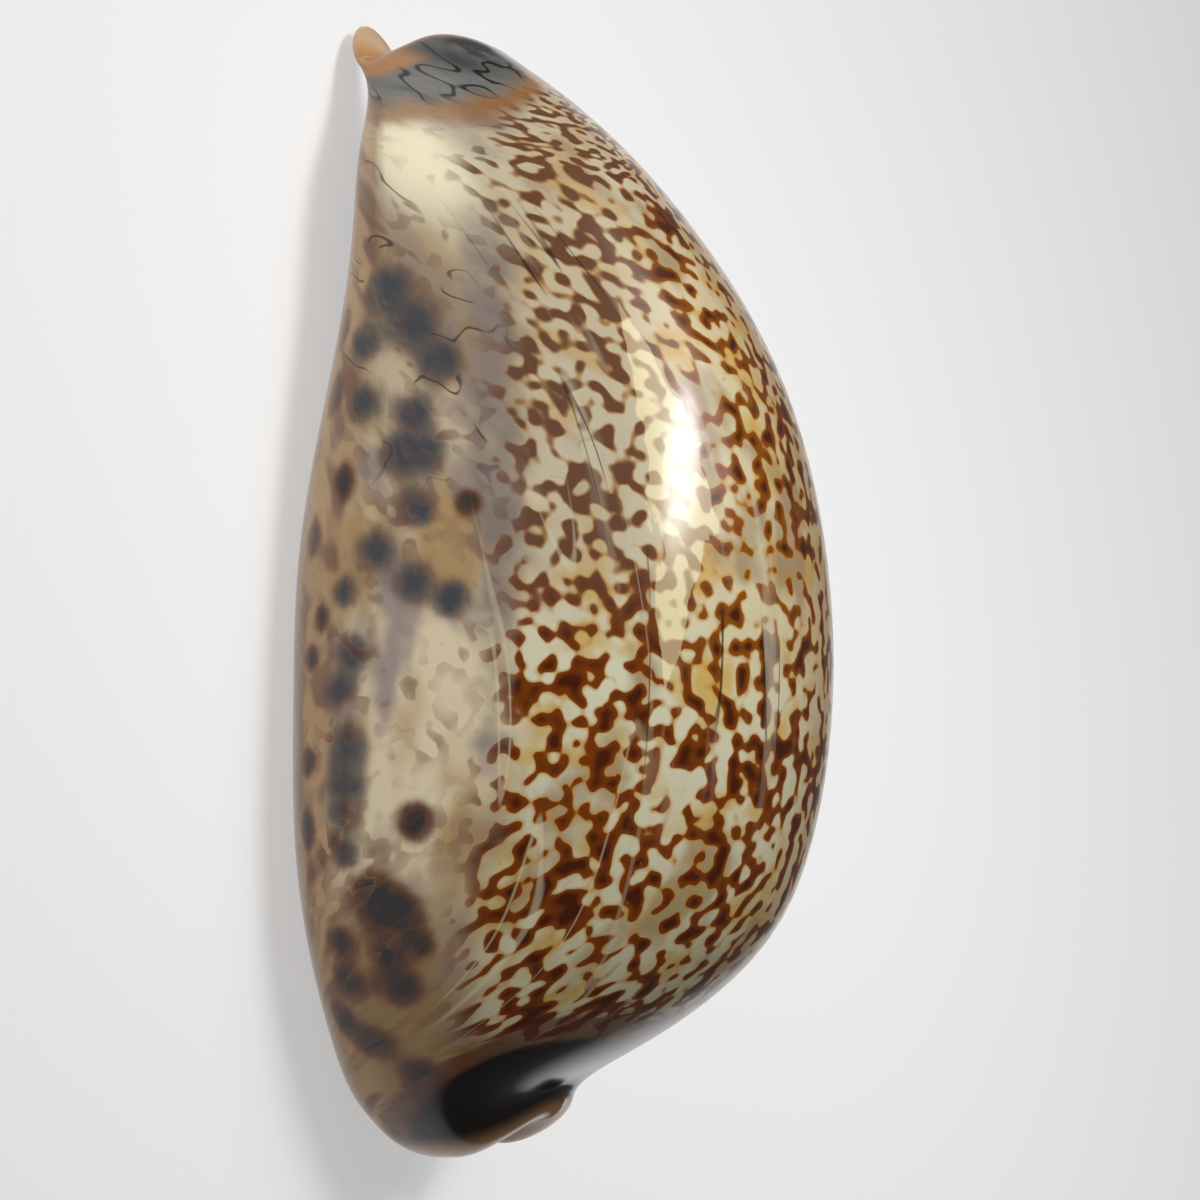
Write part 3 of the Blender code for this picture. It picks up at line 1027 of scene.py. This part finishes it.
@dataclass(frozen=True)
class PolishedAragonite:
    """Cowrie glaze: aragonite laid down and polished by the mantle, as smooth as porcelain.

    It gives the eye a clear hard shine over colours that lie at different depths: crisp brown
    script near the top, and veiled brown and slate under the side callus.
    """

    roughness: float = 0.3
    specular: float = 0.0
    coat_roughness: float = 0.17
    coat: float = 1.0
    growth_lines: Cloud = Cloud(1.6, 3.0, 61.0, 6.0)
    growth_strength: float = 0.25
    growth_height: float = 0.02  # millimetres

    white: str = "#DAD7BA"
    ground_layers: tuple[Layer, ...] = (
        ("#D2AE62", Cloud(3.6, 3.0, 11.0, fade=(0.47, 0.66))),
        # Partly painted light: a yellower ground on the upper dome.
        ("#D0A850", "golden", 0.3),
        ("#B5A186", "haze", 0.6),
        ("#9C8569", Cloud(5.0, 3.0, 37.0, 1.6, (0.5, 0.66)), 0.85),
        # Partly painted shade: a redder, darker ground past the crest.
        ("#B58C5E", "rosy", 0.6),
        # Partly painted shade: the ground browns towards the anterior end.
        ("#A28E60", "tawny", 0.35),
    )
    # Cream patches, and taupe ones, on a ground that grows yellower on the upper dome, partly as
    # painted light, and redder past the crest and browner towards the anterior end, partly as
    # painted shade.
    """Cream patches, and taupe ones, on a ground that grows more golden, rosy and tawny."""

    cells: Span = (1.3, 1.1)  # millimetres between strokes, on the dome and under the haze
    cell_stretch: float = 1.25
    cell_power: float = 3.0  # 2 for round cells, and more for squarer ones
    randomness: float = 0.9
    push_size: float = 2.0
    fine_waver: Cloud = Cloud(1.0, 0.0, 3.0)
    fine_reach: float = 0.8
    broad_waver: Cloud = Cloud(5.5, 2.0, 5.0)
    broad_reach: float = 0.45
    # More strokes towards the anterior end, where the ground is also partly painted shade, and
    # fewer under the veil.
    more_strokes: tuple[tuple[str, float], ...] = (("tawny", 0.05), ("haze", -0.04))
    """The net that the script is drawn from."""

    halo: Layer = ("#BC8832", Fade("strokes", 0.2, 0.4), 0.7)
    crisp: Fade = Fade("strokes", 0.37, 0.42)
    blurred: Fade = Fade("strokes", 0.24, 0.52)
    stroke: str = "#763600"
    # Partly painted light and shade: brighter gold strokes on the upper dome, darker red ones past
    # the crest.
    stroke_layers: tuple[Layer, ...] = (("#945404", "golden", 0.7), ("#602000", "rosy", 0.7))
    stroke_edge: str = "#A86A14"
    stroke_core: Fade = Fade("strokes", 0.36, 0.46)
    stroke_heart: Layer = ("#481800", Fade("strokes", 0.5, 0.9))
    stroke_veil: Layer = ("#6A4632", "haze")
    # Painted highlight: pale streaks along the dome that stand for thin reflections.
    painted_glint_lines: Layer = ("#D2CCB6", Cloud(1.5, 2.0, 201.0, 9.0, (0.54, 0.72)), "lined", 0.5)

    streak: str = "#EBDDB0"
    streak_band: Layer = ("#A5815C", "blurred", 0.75)
    streak_torn: Torn = Torn("streak", Cloud(1.6, 3.0, 3.0, 2.5), 0.9, (0.1, 0.2))

    callus: str = "#DECDAB"
    callus_layers: tuple[Layer, ...] = (
        ("#AE8C5C", Cloud(6.0, 2.0, 21.0, 1.5, (0.46, 0.66))),
        ("#9C8D84", Cloud(4.0, 2.0, 51.0, 1.4, (0.48, 0.68))),
        ("#8B745A", "smoky", 0.4),
        # Partly painted shade: the callus darkens towards the anterior end.
        ("#927240", "olive"),
        ("#857970", Torn("thin", Cloud(3.0, 2.0, 31.0), 0.8, (0.2, 1.1))),
        # Painted highlight: a near white patch by the posterior end, standing for a reflection.
        ("#FBF1CE", "cream"),
    )
    # Tan and mauve patches, and the tints of the callus at its ends and its thin edge. The tint
    # towards the anterior end is partly painted shade, and the pale patch near the posterior end is
    # a painted highlight.
    """Tan and mauve patches, and the tints of the callus at its ends and its thin edge."""
    flank: str = "#B08A5C"
    flank_patches: Layer = ("#6A3A1C", Cloud(2.6, 1.0, 41.0, 1.5, (0.5, 0.64)))
    flank_share: float = 0.8
    spot_unevenness: Cloud = Cloud(1.5, 2.0, 71.0)
    uneven_range: Span = (0.6, 1.4)
    spot_edge: Span = (0.15, 0.65)
    spot_core: Span = (0.25, 0.95)
    spots: tuple[tuple[str, str, float, str], ...] = (
        ("slate_spots", "#70563E", 0.75, "#33353C"),
        ("brown_spots", "#743C04", 0.95, "#100300"),
    )
    """Each mask with the colour and share of its spots' edges, and the colour of their cores."""
    veil_waver: Cloud = Cloud(3.2, 3.0, 81.0)
    veil_reach: float = 0.65
    veil_parting: float = -0.4  # how far the strokes part the veil
    veil: Fade = Fade("cover", 0.0, 0.85)

    creases: Layer = ("#DCCDAA", Contour(Cloud(3.4, 1.0, 191.0, 9.0), 0.5, 0.014), "creased", 0.4)
    long_lines: tuple[Share, ...] = (
        Contour(Cloud(2.6, 1.0, 131.0, 12.0), 0.5, 0.016),
        Cloud(4.0, 1.0, 151.0, 3.0, (0.48, 0.56)), "lined",
    )
    curls: tuple[Share, ...] = (
        Contour(Cloud(3.0, 1.0, 161.0), 0.54, 0.02),
        Cloud(3.0, 1.0, 171.0, fade=(0.5, 0.58)), "curled",
    )
    hairline: Layer = ("#2C1C12", "lines", 0.85)

    slate: str = "#72736F"
    slate_layers: tuple[Layer, ...] = (
        ("#414345", Cloud(3.0, 2.0, 17.0, fade=(0.44, 0.68))),
        ("#85796A", Cloud(1.8, 3.0, 27.0, 0.6, (0.5, 0.68)), 0.7),
        ("#414345", "oval"),
        ("#14100D", Contour(Cloud(2.6, 1.0, 97.0), 0.52, 0.03), 0.9),
    )
    """Dark blotches, smoke, the oval by the spire, and fine black loops."""
    end_waver: Cloud = Cloud(2.2, 2.0, 91.0)
    spire_fringe: Layer = ("#94683F", Torn("slate_end", end_waver, 0.3, (-0.3, 0.3)), 0.85)
    slate_torn: Torn = Torn("slate_end", end_waver, 0.3, (0.3, 0.8))
    end_layers: tuple[Layer, ...] = (
        ("#57291A", Torn("reddened", Cloud(1.6, 3.0, 121.0, 0.4), 0.6, (0.3, 0.8)), 0.8),
        ("#120A08", Torn("dark_end", end_waver, 0.35, (0.2, 0.8))),
        ("#B4814F", "rim"),
    )
    """A red-brown fringe, the near black blotch of the anterior end, and the tan rims."""

    base: str = "#C4A583"
    tooth: str = "#8A4A2A"
    lining: str = "#B4A2AC"

    def material(self, masks: list[str]) -> bpy.types.Material:
        """Builds the glaze.

        Args:
            masks: Names of the masks stored on the shell's points.

        Returns:
            The material.
        """
        material = bpy.data.materials.new("polished_aragonite_glaze")
        material.use_nodes = True
        tree = material.node_tree
        stored = {
            name: add_node(tree, "Attribute", {"attribute_name": name}, {}, "Fac")
            for name in masks
        }
        growth = add_node(tree, "Attribute", {"attribute_name": "growth"}, {}, "Vector")
        paint = Painter(tree, growth, stored)
        colour = paint.lay(self.white, *self.ground_layers)
        for stage in (
            self.script, self.mantle_streak, self.side_callus, self.hairlines, self.canal_ends,
            self.underside,
        ):
            colour = stage(paint, colour)
        lines = {
            "Strength": self.growth_strength,
            "Distance": self.growth_height * MM,
            "Height": paint.noise(self.growth_lines),
        }
        finish = {
            "Base Color": colour,
            "Normal": add_node(tree, "Bump", {}, lines),
            "Roughness": self.roughness,
            "Specular IOR Level": self.specular,
            "Coat Weight": self.coat,
            "Coat Roughness": self.coat_roughness,
        }
        wire(tree, tree.nodes["Principled BSDF"], finish)
        return material

    def net(self, paint: Painter) -> Socket:
        """Lays the warped net that the script is drawn from.

        Args:
            paint: Adds the nodes.

        Returns:
            A value that is high where a stroke is.
        """
        tree = paint.tree
        squeeze = add_node(tree, "CombineXYZ", {}, {0: paint.mask["squeeze"]})
        squeezed = add_node(tree, "VectorMath", {"operation": "ADD"}, {0: paint.growth, 1: squeeze})
        push = add_node(
            tree, "TexNoise", {"noise_dimensions": "3D"},
            {"Vector": squeezed, "Scale": 1 / self.push_size, "Detail": 0.0}, "Color",
        )
        push = add_node(
            tree, "VectorMath", {"operation": "MULTIPLY_ADD"},
            {0: push, 1: (1.0, 1.0, 0.0), 2: (-0.5, -0.5, 0.0)},
        )
        warped = add_node(tree, "VectorMath", {"operation": "ADD"}, {0: squeezed, 1: push})
        warped = add_node(
            tree, "VectorMath", {"operation": "MULTIPLY"},
            {0: warped, 1: (1 / self.cell_stretch, 1.0, 1.0)},
        )
        nets = [
            add_node(
                tree, "TexVoronoi",
                {"voronoi_dimensions": "2D", "feature": "SMOOTH_F1", "distance": "MINKOWSKI"},
                {"Vector": warped, "Scale": 1 / cell, "Smoothness": 1.0,
                 "Exponent": self.cell_power, "Randomness": self.randomness},
                "Distance",
            )
            for cell in self.cells
        ]
        strokes = add_node(tree, "Mix", {}, {0: paint.mask["haze"], 2: nets[0], 3: nets[1]})
        fine = paint.noise(self.fine_waver, squeezed)
        strokes = paint.wavering(strokes, fine, self.fine_reach)
        strokes = paint.wavering(strokes, paint.noise(self.broad_waver), self.broad_reach)
        for name, more in self.more_strokes:
            strokes = add_node(
                tree, "Math", {"operation": "MULTIPLY_ADD"},
                {0: paint.mask[name], 1: more, 2: strokes},
            )
        return strokes

    def script(self, paint: Painter, below: Socket) -> Socket:
        """Draws the brown script: strokes 0.5 to 0.9 mm wide in a broken net 1 to 2 mm across.

        Args:
            paint: Adds the nodes.
            below: Colour under this stage.

        Returns:
            The colour with the script.
        """
        paint.mask["strokes"] = self.net(paint)
        paint.mask["blurred"] = paint.strength(self.blurred)
        shown = add_node(
            paint.tree, "Mix", {},
            {0: paint.mask["haze"], 2: paint.strength(self.crisp), 3: paint.mask["blurred"]},
        )
        brown = paint.lay(self.stroke, *self.stroke_layers)
        brown = paint.lay(self.stroke_edge, (brown, self.stroke_core))
        brown = paint.lay(brown, self.stroke_heart, self.stroke_veil)
        # The pale lines laid over the script are painted highlight streaks.
        return paint.lay(below, self.halo, (brown, shown), self.painted_glint_lines)

    def mantle_streak(self, paint: Painter, below: Socket) -> Socket:
        """Lays the pale gold line where the two mantle lobes met, torn along its edges."""
        return paint.lay(below, (paint.lay(self.streak, self.streak_band), self.streak_torn))

    def side_callus(self, paint: Painter, below: Socket) -> Socket:
        """Lays fawn glaze over the margins, thick enough to blur the spots in it.

        Args:
            paint: Adds the nodes.
            below: Colour under this stage.

        Returns:
            The colour with the callus.
        """
        flank = paint.lay(self.flank, self.flank_patches)
        fawn = paint.lay(self.callus, *self.callus_layers, (flank, "flank", self.flank_share))
        low, high = self.uneven_range
        uneven = add_node(
            paint.tree, "Math", {"operation": "MULTIPLY_ADD"},
            {0: paint.noise(self.spot_unevenness), 1: high - low, 2: low},
        )
        for spots, edge, share, core in self.spots:
            level = paint.strength(spots, uneven)
            fawn = paint.lay(
                fawn, (edge, Fade(level, *self.spot_edge), share),
                (core, Fade(level, *self.spot_core)),
            )
        waver = paint.noise(self.veil_waver)
        cover = paint.wavering(paint.mask["veil"], waver, self.veil_reach)
        paint.mask["cover"] = add_node(
            paint.tree, "Math", {"operation": "MULTIPLY_ADD"},
            {0: paint.mask["blurred"], 1: self.veil_parting, 2: cover},
        )
        return paint.lay(below, (fawn, self.veil))

    def hairlines(self, paint: Painter, below: Socket) -> Socket:
        """Draws dark lines a tenth of a millimetre wide, and pale creases under them.

        Args:
            paint: Adds the nodes.
            below: Colour under this stage.

        Returns:
            The colour with the lines.
        """
        long, curls = paint.strength(*self.long_lines), paint.strength(*self.curls)
        paint.mask["lines"] = add_node(
            paint.tree, "Math", {"operation": "MAXIMUM"}, {0: long, 1: curls}
        )
        return paint.lay(below, self.creases, self.hairline)

    def canal_ends(self, paint: Painter, below: Socket) -> Socket:
        """Lays slate over the spire end, a near black blotch on the other, and tan rims."""
        grey = paint.lay(self.slate, *self.slate_layers)
        return paint.lay(below, self.spire_fringe, (grey, self.slate_torn), *self.end_layers)

    def underside(self, paint: Painter, below: Socket) -> Socket:
        """Lays the fawn base, red-brown teeth with pale gaps between them, and a mauve lining."""
        tooth = paint.lay(self.tooth, (self.base, "between_teeth"))
        return paint.lay(below, (self.base, "base"), (tooth, "lip"), (self.lining, "throat"))


@dataclass
class CowrieShell:
    """The whole shell: its form, its markings and its glaze."""

    form: ShellForm = field(default_factory=ShellForm)
    markings: Markings = field(default_factory=Markings)
    glaze: PolishedAragonite = field(default_factory=PolishedAragonite)
    name: str = "glazed_cowrie_shell"

    def add_sheet(
        self, mesh: bmesh.types.BMesh, sheet: Sheet, values: dict[str, np.ndarray]
    ) -> list[list[bmesh.types.BMEdge]]:
        """Lays a grid over a sheet's points and stores its values on them.

        Args:
            mesh: Mesh that the grid goes into.
            sheet: Points as rings of columns.
            values: A value for each point, by layer name.

        Returns:
            The grid's four edges: first ring, last ring, first column, last column.
        """
        rings, columns = sheet.points.shape[:2]
        made = bmesh.ops.create_grid(
            mesh, x_segments=columns - 1, y_segments=rings - 1, size=0.5
        )
        layers = [(mesh.verts.layers.float[name], value) for name, value in values.items()]
        growth = mesh.verts.layers.float_vector["growth"]
        along, across = sheet.arc_along(), sheet.arc_round()
        places: dict[bmesh.types.BMVert, tuple[int, int]] = {}
        for vertex in made["verts"]:
            place = (
                round((vertex.co.y + 0.5) * (rings - 1)),
                round((vertex.co.x + 0.5) * (columns - 1)),
            )
            vertex.co = sheet.points[place] * MM
            vertex[growth] = (along[place], across[place], 0.0)
            for layer, value in layers:
                vertex[layer] = value[place]
            places[vertex] = place
        return [
            [
                edge
                for edge in mesh.edges
                if all(vertex in places and places[vertex][axis] == end for vertex in edge.verts)
            ]
            for axis, end in ((0, 0), (0, rings - 1), (1, 0), (1, columns - 1))
        ]

    def build(self, low: Vector, high: Vector) -> bpy.types.Object:
        """Makes the shell as one closed mesh that fills the CAD node's box.

        Args:
            low: Lowest corner of the box.
            high: Highest corner of the box.

        Returns:
            The shell's object, glazed and tied to the node.
        """
        outer, lining = self.form.outer(), self.form.lining()
        grid = outer.points.shape[:2]
        masks = self.markings.masks(outer, self.form)
        masks = {name: np.broadcast_to(mask, grid) for name, mask in masks.items()}
        inside = {name: np.zeros(lining.points.shape[:2]) for name in masks}
        inside["throat"] += 1.0
        mesh = bmesh.new()
        mesh.verts.layers.float_vector.new("growth")
        for name in masks:
            mesh.verts.layers.float.new(name)
        outer_sides = self.add_sheet(mesh, outer, masks)
        inner_sides = self.add_sheet(mesh, lining, inside)
        for outer_side, inner_side in zip(outer_sides, inner_sides):
            bmesh.ops.bridge_loops(mesh, edges=outer_side + inner_side)
        bmesh.ops.recalc_face_normals(mesh, faces=mesh.faces)
        self.fit(mesh, low, high)
        data = finish_mesh(mesh, self.name)
        data.shade_smooth()
        data.materials.append(self.glaze.material(list(masks)))
        shell = add_object(self.name, data)
        log.info("%s: %d faces", self.name, len(data.polygons))
        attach(shell, "root")
        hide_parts(NODE)
        return shell

    def fit(self, mesh: bmesh.types.BMesh, low: Vector, high: Vector) -> None:
        """Moves and sizes the mesh so that it fills the box.

        Args:
            mesh: The mesh.
            low: Lowest corner of the box.
            high: Highest corner of the box.
        """
        own_low, own_high = (
            Vector([pick(vertex.co[axis] for vertex in mesh.verts) for axis in range(3)])
            for pick in (min, max)
        )
        sizes = [(high[i] - low[i]) / (own_high[i] - own_low[i]) for i in range(3)]
        bmesh.ops.translate(mesh, verts=mesh.verts, vec=-own_low)
        bmesh.ops.scale(mesh, verts=mesh.verts, vec=sizes)
        bmesh.ops.translate(mesh, verts=mesh.verts, vec=low)


@dataclass(frozen=True)
class MattPaper:
    """Studio paper with a painted pool of light: pale in the middle, and greyer around it."""

    colour: str = "#FAFAFA"
    painted_falloff_colour: str = "#B4B4B4"
    glow: float = 0.55  # keeps the floor pale to the eye and in the shine, and lights nothing
    shade: float = 0.56  # share of its colour that the floor shows beside the glow
    pool: Span = (0.42, 0.2)
    pool_middle: Span = (0.0, 0.05)
    pool_turn: float = 70.0
    roughness: float = 0.9
    specular: float = 0.2

    def material(self) -> bpy.types.Material:
        """Builds the paper.

        Returns:
            The material, laid out in the floor's own metres.
        """
        material = bpy.data.materials.new("matt_paper_floor")
        material.use_nodes = True
        tree = material.node_tree
        place = add_node(tree, "TexCoord", {}, {}, "Object")
        place = add_node(
            tree, "Mapping", {"vector_type": "TEXTURE"},
            {"Vector": place, "Location": (*self.pool_middle, 0.0),
             "Rotation": (0, 0, math.radians(self.pool_turn)), "Scale": (*self.pool, 1.0)},
        )
        # Painted pool of light: the floor's colour and glow fade from pale in the middle to grey at
        # the edges.
        pool = add_node(tree, "TexGradient", {"gradient_type": "SPHERICAL"}, {"Vector": place})
        pool = add_node(
            tree, "Mix", {"data_type": "RGBA"}, {0: pool, 6: self.painted_falloff_colour, 7: self.colour}, 2
        )
        seen: Value = 0.0
        for ray in ("Is Camera Ray", "Is Glossy Ray", "Is Transmission Ray"):
            found = add_node(tree, "LightPath", {}, {}, ray)
            seen = add_node(tree, "Math", {"operation": "MAXIMUM"}, {0: seen, 1: found})
        dimmed = add_node(
            tree, "VectorMath", {"operation": "SCALE"}, {0: pool, "Scale": self.shade}
        )
        lit = add_node(tree, "Mix", {"data_type": "RGBA"}, {0: seen, 6: pool, 7: dimmed}, 2)
        glow = add_node(tree, "Math", {"operation": "MULTIPLY"}, {0: seen, 1: self.glow})
        finish = {
            "Base Color": lit,
            "Emission Color": pool,
            "Emission Strength": glow,
            "Roughness": self.roughness,
            "Specular IOR Level": self.specular,
        }
        wire(tree, tree.nodes["Principled BSDF"], finish)
        return material


@dataclass(frozen=True)
class Lamp:
    """A soft box, by the direction it shines from."""

    name: str
    elevation: float
    azimuth: float  # 0 at -Y, turning towards +X
    distance: float
    size: Span
    power: float
    shines: bool = True  # whether the glaze mirrors it

    def build(self, target: Vector) -> None:
        """Hangs the soft box.

        Args:
            target: What it faces.
        """
        up, round_ = math.radians(self.elevation), math.radians(self.azimuth)
        way = Vector(
            (math.sin(round_) * math.cos(up), -math.cos(round_) * math.cos(up), math.sin(up))
        )
        data = bpy.data.lights.new(self.name, "AREA")
        data.shape = "ELLIPSE"
        data.size, data.size_y = self.size
        data.energy = self.power
        lamp = add_object(self.name, data)
        lamp.visible_glossy = self.shines
        lamp.location = target + way * self.distance
        lamp.rotation_euler = way.to_track_quat("Z", "Y").to_euler()
        log.info("%s: %.1f W", self.name, self.power)


@dataclass
class Studio:
    """Pale floor, soft boxes and the camera."""

    floor_size: float = 4.0
    paper: MattPaper = field(default_factory=MattPaper)
    world_level: float = 0.1
    elevation: float = 22.0
    roll: float = 0.75
    distance: float = 0.42
    lens: float = 204.0
    sensor: float = 36.0
    nearest: float = 0.01
    aim: tuple[float, float, float] = (0.9, 0.5, 15.3)  # millimetres
    lit: tuple[float, float, float] = (0.0, 0.0, 15.0)  # millimetres, where the lamps point
    lamps: tuple[Lamp, ...] = (
        Lamp("key_soft_box", 60.0, -62.0, 0.7, (0.4, 0.12), 2.3),
        Lamp("broad_soft_box", 56.0, -84.0, 0.9, (0.7, 0.6), 2.6),
        Lamp("front_fill", 9.0, -30.0, 0.9, (0.5, 0.5), 2.2, shines=False),
    )

    def build(self) -> None:
        """Makes the floor, the lamps, the world and the camera."""
        scene = bpy.context.scene
        self.lay_floor()
        for lamp in self.lamps:
            lamp.build(Vector(self.lit) * MM)
        scene.world = bpy.data.worlds.new("studio air")
        scene.world.use_nodes = True
        tree = scene.world.node_tree
        air = {"Color": WHITE, "Strength": self.world_level}
        wire(tree, tree.nodes["Background"], air)
        self.place_camera()
        scene.view_settings.view_transform = "Standard"

    def lay_floor(self) -> None:
        """Lays the pale floor that the shell rests on."""
        mesh = bmesh.new()
        bmesh.ops.create_grid(mesh, x_segments=1, y_segments=1, size=self.floor_size / 2)
        data = finish_mesh(mesh, "studio_floor")
        data.materials.append(self.paper.material())
        add_object("studio_floor", data)

    def place_camera(self) -> None:
        """Looks at the shell from its labral side, with the posterior end at the top."""
        up = math.radians(self.elevation)
        back = Vector((0.0, -math.cos(up), math.sin(up)))
        top = Matrix.Rotation(math.radians(-self.roll), 3, back) @ Vector((-1.0, 0.0, 0.0))
        right = top.cross(back).normalized()
        data = bpy.data.cameras.new("camera")
        data.lens = self.lens
        data.sensor_width = self.sensor
        data.clip_start = self.nearest
        camera = add_object("camera", data)
        place = Matrix.Translation(Vector(self.aim) * MM + back * self.distance)
        camera.matrix_world = place @ Matrix((right, top, back)).transposed().to_4x4()
        bpy.context.scene.camera = camera


def main() -> None:
    logging.basicConfig(level=logging.INFO, format="%(name)s: %(message)s")
    low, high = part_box(NODE)
    CowrieShell().build(low, high)
    Studio().build()


if __name__ == "__main__":
    main()
